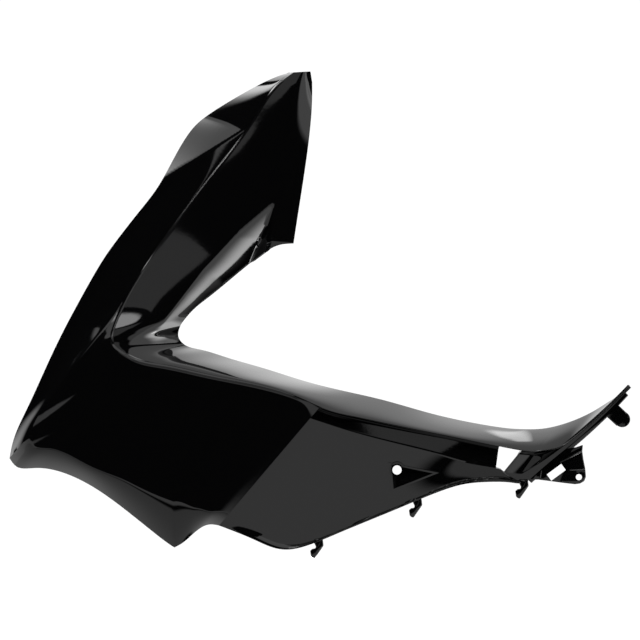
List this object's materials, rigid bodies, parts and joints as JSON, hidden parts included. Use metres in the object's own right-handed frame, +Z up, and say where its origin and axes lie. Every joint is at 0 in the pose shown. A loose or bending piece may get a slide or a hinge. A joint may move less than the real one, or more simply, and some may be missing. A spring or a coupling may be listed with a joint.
{
  "type": "scooter side panel",
  "caption": "Moulded left side panel of a scooter, with a V-shaped shell, a recessed floor, hooks, a screw pocket and a rear bracket.",
  "frame": {"origin": "centre of the screw hole in the rear bracket, on the outer face of its screw seat", "axes": "+X to the rear of the vehicle, +Y from the outer face into the vehicle, +Z up"},
  "size_m": [0.8107, 0.0929, 0.634],
  "materials": {
    "black_shell": "high gloss black"
  },
  "bodies": {
    "root": {"side_panel": "black_shell"}
  },
  "joints": []
}
